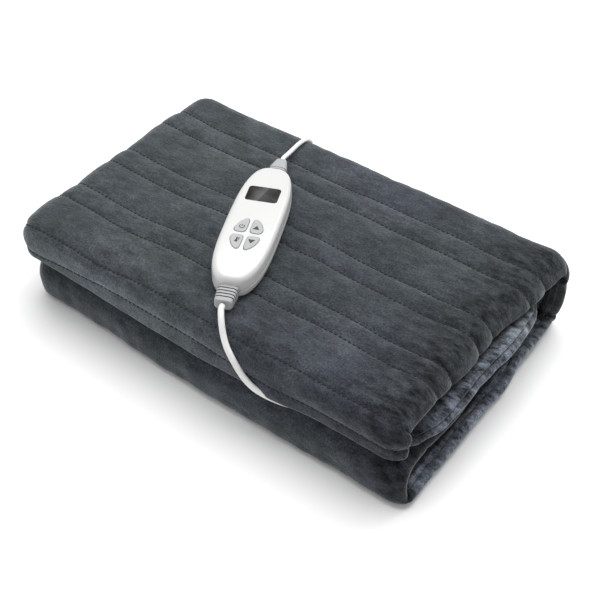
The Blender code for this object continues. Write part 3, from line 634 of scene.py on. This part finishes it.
def ribbon(left, right, half):
    """The folded section across the throw: for each row, (x, height off the outer face) of both faces.

    It runs along the outer layer, round the right fold, back, round the left fold, and along again.
    """
    upper, lower = [], []
    base = -LAYER / 2

    def put(x, n, nx, nn, thick):
        upper.append((x + nx * half * thick, n + nn * half * thick))
        lower.append((x - nx * half * thick, n - nn * half * thick))

    edge = (0.0, 0.0003, 0.0009, 0.0017, 0.0028)
    fade = (0.12, 0.50, 0.78, 0.95, 1.0)
    for d, thick in zip(edge, fade):
        put(left + d, base, 0.0, 1.0, thick)
    for s in closer_at_ends(20, 76, 24):
        put(left + 0.0028 + (right - LAYER - left - 0.0028) * s, base, 0.0, 1.0, 1.0)
    for i in range(9):
        a = -math.pi * i / 8
        nx, nn = -math.sin(a), math.cos(a)
        put(right - LAYER + LAYER / 2 * nx, -LAYER + LAYER / 2 * nn, nx, nn, 1.0)
    for s in closer_at_ends(10, 10, 10):
        put(right - LAYER - (right - left - 2 * LAYER) * s, -1.5 * LAYER, 0.0, -1.0, 1.0)
    for i in range(7):
        a = -math.pi + math.pi * i / 6
        nx, nn = -math.sin(a), math.cos(a)
        put(left + LAYER - LAYER / 2 * nx, -2 * LAYER - LAYER / 2 * nn, nx, nn, 1.0)
    for s in closer_at_ends(10, 10, 10):
        put(left + LAYER + (right - left - 1.6 * LAYER - 0.003) * s, -2.5 * LAYER, 0.0, 1.0, 1.0)
    for d, thick in zip(edge[::-1], fade[::-1]):
        put(right - 0.6 * LAYER - d, -2.5 * LAYER, 0.0, 1.0, thick)
    return upper, lower[::-1]


def seam_depth(x, t, left, right):
    """How much of a seam's full depth shows: less over the rolled ends and at the hem."""
    ends = smooth_step(0.016, 0.064, right - x) * smooth_step(0.012, 0.070, x - left)
    return (0.14 + 0.86 * ends) * (0.45 + 0.55 * smooth_step(0.020, 0.050, t))


def painted_highlight_amount(x, t):
    """Painted highlight that makes the velour paler, as if light caught it: some along the hem, most at two
    right-hand edges.
    """
    painted_hem_light = 0.17 * (1 - smooth_step(0.026, 0.036, t)) * (1 - smooth_step(-0.08, 0.06, x))
    painted_edge_light = 1 - smooth_step(0.010, 0.024, right_edge(t) - x)
    low = smooth_step(STARTS[6] - 0.01, STARTS[6] + 0.02, t)
    low = low * (1 - smooth_step(STARTS[7] - 0.02, STARTS[7], t))
    high = smooth_step(STARTS[12], STARTS[12] + 0.03, t)
    high = high * (1 - smooth_step(STARTS[13] - 0.02, STARTS[13], t))
    return painted_hem_light + painted_edge_light * (0.9 * low + 0.7 * high)


SEAM_ROWS = (0.0009, 0.0018, 0.0031, 0.0048)       # rows on each side of a seam
HEM_ROWS = [0.0002, 0.0006, 0.0013, 0.0023]        # rows round the hem's edge


def row_places():
    """Where the mesh has its rows: even, and closer on both sides of each seam that shows."""
    rows = list(np.arange(0.0, VISIBLE_END, 0.0042)) + list(np.arange(VISIBLE_END, PATH_END, 0.0085))
    for seam in SEAMS[SEAMS < VISIBLE_END]:
        rows = [r for r in rows if abs(r - seam) > 0.0052]
        rows += [seam - d for d in SEAM_ROWS] + [seam] + [seam + d for d in SEAM_ROWS]
    rows += HEM_ROWS
    rows = np.array(sorted(r for r in rows if 0.0 <= r <= PATH_END))
    return rows[np.concatenate(([True], np.diff(rows) > 0.0001))]


def sheet_faces(count, ring):
    """Quads between the rows of the folded sheet, and a strip of them that closes each of its two ends."""
    faces = loft_faces(count, ring)[:-2]
    for first in (0, (count - 1) * ring):
        last = first + ring - 1
        faces += [(first + i, first + i + 1, last - 1 - i, last - i) for i in range(ring // 2 - 1)]
    return faces


def make_throw():
    """The whole sheet. It also gives the highest channel's height, which the stitches are set below."""
    rows = row_places()
    gap, _ = seam_distance(rows)
    pinch = 0.55 + 0.45 * np.clip(gap / 0.006, 0, 1) ** 0.6
    end = np.minimum(rows, rows[-1] - rows)
    round_end = np.sqrt(1 - np.clip(1 - end / 0.0023, 0, 0.995) ** 2)
    crown = channel_rise(0 * rows, rows).max()
    left, right = left_edge(rows), right_edge(rows)
    upper, lower = ribbon(left, right, LAYER / 2 * 0.96 * pinch * round_end)
    x = np.stack([p[0] * np.ones_like(rows) for p in upper + lower])
    n = np.stack([p[1] * np.ones_like(rows) for p in upper + lower])
    t = np.tile(rows, (len(x), 1))
    # at the hem the inner thirds end a little higher
    t = t + 0.008 * smooth_step(0.8, 1.3, -n / LAYER) * (1 - smooth_step(0.0, 0.03, t))
    # the outer layer's channels swell outwards; everything below keeps its place
    outer = smooth_step(-1.35 * LAYER, -0.75 * LAYER, n)
    n = n + outer * seam_depth(x, t, left, right) * (channel_rise(x, t) * round_end - crown)
    points = throw_point(x, n, t).transpose(1, 0, 2)
    mesh = mesh_from("throw_sheet", points.reshape(-1, 3), sheet_faces(*points.shape[:2]))
    # the painted highlight amount is stored on the points
    nap_tone_and_painted_highlight = mesh.attributes.new("nap_tone_and_painted_highlight", "FLOAT", "POINT")
    nap_tone_and_painted_highlight.data.foreach_set("value", painted_highlight_amount(x, t).T.ravel())
    throw = add_object("throw_sheet", mesh, VELOUR, ("cover_layer", "upper_packet", "lower_packet"))
    return throw, crown


STITCH_PITCH, STITCH_LENGTH, STITCH_RADIUS, STITCH_SIDES = 0.0046, 0.0031, 0.00052, 6
STITCH_SHAPE = ((0.0, 0.15), (0.18, 0.8), (0.5, 1.0), (0.82, 0.8), (1.0, 0.15))    # (share of length, girth)


def seam_stitches(seam, crown):
    """For each section along the stitches of one seam: their places, places just above, and the girth."""
    left, right = left_edge(seam), right_edge(seam)
    first, last = left + 0.012, right - 0.008
    starts = first + STITCH_PITCH * np.arange(int((last - first) / STITCH_PITCH))
    sections = []
    for share, girth in STITCH_SHAPE:
        x = starts + STITCH_LENGTH * share
        t = np.full_like(x, seam)
        lift = 0.00055 - LAYER * 0.22 - crown * seam_depth(x, t, left, right) - 0.0006 * abs(share - 0.5)
        sections.append((throw_point(x, lift, t), throw_point(x, lift + 0.001, t), girth))
    return sections


def stitch_rings(sections, number):
    """The rings of points of one stitch, slightly flatter than round."""
    run = sections[-1][0][number] - sections[0][0][number]
    along = run / np.linalg.norm(run)
    points = []
    for surface, above, girth in sections:
        up = above[number] - surface[number]
        up /= max(np.linalg.norm(up), 1e-9)
        across = np.cross(up, along)
        for k in range(STITCH_SIDES):
            a = 2 * math.pi * k / STITCH_SIDES
            around = math.cos(a) * across * 1.3 + math.sin(a) * up
            points.append(surface[number] + STITCH_RADIUS * girth * around)
    return points


def make_stitches(crown):
    """Dark thread dashes in every seam that shows."""
    points, faces = [], []
    for seam in SEAMS[SEAMS < VISIBLE_END]:
        sections = seam_stitches(seam, crown)
        for number in range(len(sections[0][0])):
            faces += loft_faces(len(STITCH_SHAPE), STITCH_SIDES, len(points))
            points += stitch_rings(sections, number)
    add_object("stitching", mesh_from("stitching", points, faces), THREAD)


# --- the handset ----------------------------------------------------------------------------------
TO_HANDSET = Matrix.Translation(HANDSET_AT) @ Matrix.Rotation(HANDSET_TURN, 4, "Z")
TO_BOOTS = TO_HANDSET @ Matrix.Translation((0, 0, SPLIT))
SHELL_WALL = 0.002
JOINT_GAP = 0.0002                 # from the middle of the shells' joint to each shell


def add_solid(mesh, finish, replaces=(), body="throw", place=TO_HANDSET, sharp=40):
    """Put a solid in its place and add it, with edges over so many degrees kept sharp."""
    mesh.transform(place)
    sharpen(mesh, sharp)
    return add_object(mesh.name, mesh, finish, replaces, body)


def superellipse(wide, high, power, count, phase=0.0):
    """Points round an oval of these half sizes, which a power over 2 makes squarer."""
    points = []
    for i in range(count):
        angle = 2 * math.pi * (i + phase) / count
        cos, sin = math.cos(angle), math.sin(angle)
        points.append((wide * math.copysign(abs(cos) ** (2 / power), cos),
                       high * math.copysign(abs(sin) ** (2 / power), sin)))
    return points


def oval(inset):
    return superellipse(HANDSET_HALF[0] - inset, HANDSET_HALF[1] - inset, OVAL_POWER, 96, 0.5)


def shell_mesh(name, stations):
    """A closed shell through ovals, each given as (inset, height), from its inside round to its outside."""
    return loft(name, [[(x, y, height) for x, y in oval(inset)] for inset, height in stations])


def rim(edge, inset, height, sign):
    """Stations round a rim of radius edge that starts on a side wall at inset and ends at height."""
    angles = [math.pi / 2 * i / 7 for i in range(8)]
    return [(inset + edge * (1 - math.cos(a)), height - sign * edge * (1 - math.sin(a))) for a in angles]


def corner_curve(a, corner, b):
    """A smooth curve from a to b that leans towards the corner."""
    a, corner, b = Vector(a), Vector(corner), Vector(b)
    shares = [k / 7 for k in range(8)]
    return [tuple(a * (1 - s) ** 2 + corner * 2 * s * (1 - s) + b * s * s) for s in shares]


def key_outline(side, end, grow):
    """One key: a quarter of the cluster's oval less half a slit on its straight sides, corners rounded."""
    rx, ry = KEYS_RADII[0] + grow, KEYS_RADII[1] + grow
    near = KEY_SLIT / 2 - grow
    trim = 0.27
    first, last = math.asin(near / ry) + trim, math.acos(near / rx) - trim
    angles = [first + (last - first) * i / 12 for i in range(13)]
    curve = [(rx * math.cos(a), ry * math.sin(a)) for a in angles]
    tip_x, tip_y = (rx - 0.0004, near), (near, ry - 0.0004)
    reach = 0.0046
    outline = corner_curve((near, near + reach), (near, near), (near + reach, near))
    outline += corner_curve((rx - 0.0052, near), tip_x, curve[0])[1:-1] + curve
    outline += corner_curve(curve[-1], tip_y, (near, ry - 0.0072))[1:]
    return [(side * x, end * y) for x, y in outline]


def prism(name, outline, stations):
    """A solid through copies of an outline, each (shrink factor about its middle, height)."""
    corners = np.array(outline)
    middle = corners.mean(axis=0)
    return loft(name, [[(*(middle + (corner - middle) * shrink), height) for corner in corners]
                       for shrink, height in stations])


def rounded_box(width, height, radius):
    points = []
    for sx, sy, start in ((1, 1, 0), (-1, 1, 90), (-1, -1, 180), (1, -1, 270)):
        centre = (sx * (width / 2 - radius), sy * (height / 2 - radius))
        points += arc_points(centre, radius, start, start + 90, 6)
    return points


def shifted(outline, dy):
    return [(x, y + dy) for x, y in outline]


def cut_away(piece, outlines, low, high):
    """Cut straight holes through a piece, then drop the cutters."""
    cutters = []
    for number, outline in enumerate(outlines):
        cutter = new_object(f"cutter_{number}", prism("cutter", outline, ((1.0, low), (1.0, high))))
        cutter.matrix_world = piece.matrix_world
        step = piece.modifiers.new("hole", "BOOLEAN")
        step.operation = "DIFFERENCE"
        step.solver = "EXACT"
        step.object = cutter
        cutters.append(cutter)
    bpy.context.view_layer.update()
    graph = bpy.context.evaluated_depsgraph_get()
    mesh = bpy.data.meshes.new_from_object(piece.evaluated_get(graph), depsgraph=graph)
    piece.modifiers.clear()
    piece.data = mesh
    for cutter in cutters:
        bpy.data.objects.remove(cutter)


def make_top_shell():
    height, wall, low = HANDSET_HEIGHT, SHELL_WALL, SPLIT + JOINT_GAP
    stations = [(wall + 0.010, height - wall - 0.0002)] + rim(0.003, wall, height - wall, 1)[::-1]
    stations += [(wall, low), (0.0004, low), (0.0, SPLIT + 0.0006), (0.0002, height - 0.0056)]
    stations += rim(0.0050, 0.0003, height - 0.0002, 1)[1:] + [(0.0085, height), (0.013, height + 0.0001)]
    mesh = shell_mesh("handset_top", stations)
    top = add_object("handset_top", mesh, WHITE, ("shell_top",))
    window = rounded_box(WINDOW_SIZE[0] + 0.0005, WINDOW_SIZE[1] + 0.0005, 0.0030)
    holes = [shifted(window, WINDOW_Y)]
    holes += [shifted(key_outline(side, end, 0.0003), KEYS_Y) for side, end, _ in KEYS]
    cut_away(top, holes, 0.017, 0.030)
    top.data.transform(TO_HANDSET)
    sharpen(top.data)


def make_bottom_shell():
    wall, high = SHELL_WALL, SPLIT - JOINT_GAP
    stations = [(wall + 0.010, wall + 0.0002)] + rim(0.003, wall, wall, -1)[::-1]
    stations += [(wall, high), (0.0004, high), (0.0, SPLIT - 0.0006), (0.0001, 0.0060)]
    stations += rim(0.0055, 0.0002, 0.0, -1)[1:] + [(0.012, 0.0)]
    add_solid(shell_mesh("handset_bottom", stations), WHITE, ("shell_bottom",), sharp=32)


def make_window():
    top = HANDSET_HEIGHT - 0.0001
    outline = shifted(rounded_box(*WINDOW_SIZE, 0.0027), WINDOW_Y)
    mesh = prism("display_window", outline, ((1.0, top - 0.0018), (1.0, top - 0.0002), (0.988, top)))
    add_solid(mesh, DISPLAY, ("lcd_window",), sharp=50)


def icon_parts(name):
    """Outlines of one key's symbol, in handset directions about the key's middle."""
    if name == "up":
        return [[(-0.0029, -0.0021), (0.0029, -0.0021), (0.0, 0.0026)]]
    if name == "down":
        return [[(-0.0029, 0.0021), (0.0, -0.0026), (0.0029, 0.0021)]]
    if name == "power":
        centre = (0.0, -0.0003)
        ring = arc_points(centre, 0.0024, 125, 415, 20) + arc_points(centre, 0.0018, 415, 125, 20)
        return [ring, [(-0.00026, -0.0001), (0.00026, -0.0001), (0.00026, 0.0023), (-0.00026, 0.0023)]]
    bulb = arc_points((0.0, -0.0017), 0.0013, -240, 60, 14)
    stem = [(0.0006, 0.0024), (0.0003, 0.0029), (-0.0003, 0.0029), (-0.0006, 0.0024)]
    ticks = [[(0.0010, y), (0.0022, y), (0.0022, y + 0.0004), (0.0010, y + 0.0004)]
             for y in (-0.0001, 0.0010, 0.0021)]
    return [bulb + stem] + ticks


def key_symbol(name, middle, low, high):
    points, faces = [], []
    for outline in icon_parts(name):
        faces += loft_faces(2, len(outline), len(points))
        points += [(middle[0] + x, middle[1] + y, height) for height in (low, high) for x, y in outline]
    return mesh_from(f"key_{name}_symbol", points, faces)


def make_keys():
    top = HANDSET_HEIGHT + 0.0008
    dish = ((1.0, 0.0170), (1.0, top - 0.0008), (0.985, top - 0.00035), (0.955, top - 0.0001),
            (0.90, top), (0.80, top - 0.00006), (0.4, top - 0.00016))
    for side, end, name in KEYS:
        outline = shifted(key_outline(side, end, 0.0), KEYS_Y)
        cap = prism(f"key_{name}_cap", outline, dish)
        add_solid(cap, KEY, (f"button_{name}",), f"key_{name}", sharp=50)
        middle = (side * 0.0062, KEYS_Y + end * 0.0088)
        symbol = key_symbol(name, middle, top - 0.0005, top + 0.00004)
        add_solid(symbol, ICON, (), f"key_{name}", sharp=30)


BOOT_SIDES = 48


def boot_mesh(name, stations, power, axis="Y", sides=BOOT_SIDES):
    """A solid through rounded sections, each given as (place along the axis, half width, half height)."""
    rings = []
    for along, wide, high in stations:
        section = superellipse(wide, high, power, sides)
        rings.append([(x, along, z) if axis == "Y" else (along, x, z) for x, z in section])
    return loft(name, rings)


def make_lead_boot():
    """The ribbed strain relief at the handset's near end, its grooves painted darker as painted shade."""
    end = HANDSET_HALF[1]
    stations = [(end - 0.0035, 0.0042, 0.0042), (end - 0.0012, 0.0042, 0.0042),
                (end - 0.0010, 0.0082, 0.0058), (end - 0.0004, 0.0086, 0.0062),
                (end + 0.0028, 0.0086, 0.0062)]
    grooves = []
    for i in range(4):
        start = end + 0.0031 + 0.0031 * i
        wide, high = 0.0088 - 0.0003 * i, 0.0062 - 0.0003 * i
        grooves.append(len(stations))
        stations += [(start, wide, high), (start + 0.0001, wide - 0.0018, high - 0.0016),
                     (start + 0.0010, wide - 0.0018, high - 0.0016), (start + 0.0011, wide, high)]
    stations += [(0.0928, 0.0074, 0.0050), (0.0934, 0.0072, 0.0048), (0.0935, 0.0070, 0.0045)]
    mesh = boot_mesh("lead_boot", [(-along, wide, high) for along, wide, high in stations], 4.0)
    mesh.materials.append(RELIEF)
    mesh.materials.append(GROOVE_PAINTED_SHADE)
    # groove faces take the dark finish: painted shade in the slots
    for start in grooves:
        for face in range(start * BOOT_SIDES, (start + 3) * BOOT_SIDES):
            mesh.polygons[face].material_index = 1
    add_solid(mesh, None, ("lead_relief",), place=TO_BOOTS)


def make_mains_boot():
    """The plain strain relief at the far end, with three shallow rings and a long taper."""
    end = HANDSET_HALF[1]
    stations = [(end - 0.0035, 0.0042, 0.0042), (end - 0.0014, 0.0042, 0.0042),
                (end - 0.0010, 0.0078, 0.0056), (end, 0.0082, 0.0060)]
    for i in range(3):
        start = end + 0.0022 + 0.0028 * i
        wide, high = 0.0082 - 0.0001 * i, 0.0060 - 0.0001 * i
        stations += [(start, wide, high), (start + 0.0003, wide - 0.0006, high - 0.0006),
                     (start + 0.0010, wide - 0.0006, high - 0.0006), (start + 0.0013, wide, high - 0.0001)]
    stations += [(end + 0.0125, 0.0078, 0.0056), (end + 0.0170, 0.0066, 0.0049),
                 (end + 0.0215, 0.0054, 0.0042), (0.0998, 0.0050, 0.0038), (0.1005, 0.0044, 0.0033)]
    mesh = boot_mesh("mains_boot", stations, 3.0)
    add_solid(mesh, RELIEF, ("mains_relief",), place=TO_BOOTS)


# --- leads and plug ---------------------------------------------------------------------------------
def cord_curve(name, points, diameter):
    curve = bpy.data.curves.new(name, "CURVE")
    curve.dimensions = "3D"
    curve.bevel_depth = diameter / 2
    curve.bevel_resolution = 5
    curve.use_fill_caps = True
    spline = curve.splines.new("POLY")
    spline.points.add(len(points) - 1)
    for point, place in zip(spline.points, points):
        point.co = (*[float(c) for c in place], 1.0)
    spline.use_smooth = True
    return curve


def hank_points():
    """The wound surplus: turns of a racetrack, each blending into the next along its first straight."""
    middle = HANK_CENTRE[1]
    left, right = HANK_CENTRE[0] - HANK_RUN / 2, HANK_CENTRE[0] + HANK_RUN / 2
    points = []
    last_radius, last_height = HANK_TURNS[0]
    for radius, height in HANK_TURNS:
        for i in range(8):
            blend = float(smooth_step(0, 1, i / 8))
            points.append((left + HANK_RUN * i / 8, middle - last_radius - (radius - last_radius) * blend,
                           last_height + (height - last_height) * blend))
        turn = arc_points((right, middle), radius, -90, 90, 11)[:-1]
        turn += [(right - HANK_RUN * i / 5, middle + radius) for i in range(5)]
        turn += arc_points((left, middle), radius, 90, 270, 11)[:-1]
        points += [(x, y, height) for x, y in turn]
        last_radius, last_height = radius, height
    points.append((left, middle - last_radius, last_height))
    return points


PLUG_BOOT_LENGTH = 0.022
PLUG_SHELL_START = 0.0223
PLUG_SHELL = ((0.0, 0.0066, 0.0058), (0.0006, 0.0074, 0.0062), (0.004, 0.0098, 0.0070),
              (0.009, 0.0108, 0.0073), (0.012, 0.0112, 0.0071), (0.017, 0.0116, 0.0073),
              (0.022, 0.0124, 0.0081), (0.0255, 0.0124, 0.0082), (0.0266, 0.0120, 0.0079),
              (0.0270, 0.0112, 0.0072))


def make_plug():
    """The plug's ribbed boot and its body, which swells towards the blades."""
    place = Matrix.Translation((PLUG_X, PLUG_Y, PLUG_Z))
    stations = [(0.0, 0.0036, 0.0036), (0.002, 0.0042, 0.0041)]
    for i in range(4):
        start = 0.0045 + 0.0036 * i
        wide = 0.0047 + 0.0006 * i
        stations += [(start, wide, wide - 0.0002), (start + 0.0002, wide - 0.0010, wide - 0.0011),
                     (start + 0.0014, wide - 0.0009, wide - 0.0010),
                     (start + 0.0016, wide + 0.0002, wide - 0.0001)]
    stations.append((PLUG_BOOT_LENGTH, 0.0066, 0.0058))
    mesh = boot_mesh("plug_boot", stations, 2.1, "X", 32)
    boot = add_solid(mesh, CORD_WHITE, ("plug_relief",), place=place)
    stations = [(PLUG_SHELL_START + along, wide, high) for along, wide, high in PLUG_SHELL]
    mesh = boot_mesh("plug_shell", stations, 3.2, "X", 56)
    return boot, add_solid(mesh, CORD_WHITE, ("plug_body",), place=place)


ROUTE_STEP = 0.004
HANK_TO_PLUG = [(-0.045, 0.1467, 0.0143), (-0.022, 0.1469, 0.0147)] + MAINS_END


def make_leads():
    boot, body = make_plug()
    curve = cord_curve("throw_lead", centripetal(BLANKET_LEAD, ROUTE_STEP), CORD)
    lead = add_object("throw_lead", curve, CORD_WHITE, ("blanket_lead",))
    route = list(centripetal(MAINS_LEAD, ROUTE_STEP)) + hank_points()[1:]
    route += list(centripetal([route[-1]] + HANK_TO_PLUG, ROUTE_STEP))[1:]
    mains = add_object("mains_cord", cord_curve("mains_cord", route, MAINS_CORD), CORD_WHITE,
                       ("mains_lead", "mains_hank", "mains_lead_end"))


# --- stage ------------------------------------------------------------------------------------------
LIGHTS = (("overhead", (-0.2, 0.5, 1.8), 2.0, 42.0),       # name, place, size, energy
          ("key", (0.3, 1.6, 1.3), 0.9, 8.0),
          ("fill", (-0.7, -1.4, 0.6), 1.2, 2.0))
LIGHTS_AIM = Vector((0, 0, 0.04))
FLOOR_HALF = 8.0


def add_light(name, place, size, energy):
    data = bpy.data.lights.new(name, "AREA")
    data.size = size
    data.energy = energy
    light = new_object(name, data)
    light.location = place
    light.rotation_euler = (Vector(place) - LIGHTS_AIM).to_track_quat("Z", "Y").to_euler()


def make_stage():
    mesh = bpy.data.meshes.new("floor")
    corners = [(FLOOR_HALF * x, FLOOR_HALF * y, 0) for x, y in ((-1, -1), (1, -1), (1, 1), (-1, 1))]
    mesh.from_pydata(corners, [], [(0, 1, 2, 3)])
    floor = new_object("floor", mesh)
    mesh.materials.append(new_finish("floor_white", (0.93, 0.93, 0.93), 0.9)[0])
    world = bpy.data.worlds.new("studio")
    world.use_nodes = True
    set_inputs(world.node_tree.nodes["Background"], {"Color": (1.0, 1.0, 1.0, 1.0), "Strength": 0.60})
    bpy.context.scene.world = world
    for light in LIGHTS:
        add_light(*light)


def make_camera():
    azimuth, elevation = math.radians(37.02), math.radians(42.97)
    back = Vector((math.sin(azimuth) * math.cos(elevation), -math.cos(azimuth) * math.cos(elevation),
                   math.sin(elevation)))
    data = bpy.data.cameras.new("camera")
    data.sensor_width = 36.0
    data.lens = 72.1
    camera = new_object("camera", data)
    camera.location = (0.4816, -0.6276, 0.7476)
    camera.rotation_euler = back.to_track_quat("Z", "Y").to_euler()
    bpy.context.scene.camera = camera
    bpy.context.scene.view_settings.view_transform = "Standard"


finish_cad_nodes()
throw, throw_crown = make_throw()
make_stitches(throw_crown)
make_top_shell()
make_bottom_shell()
make_window()
make_keys()
make_lead_boot()
make_mains_boot()
make_leads()
make_stage()
make_camera()
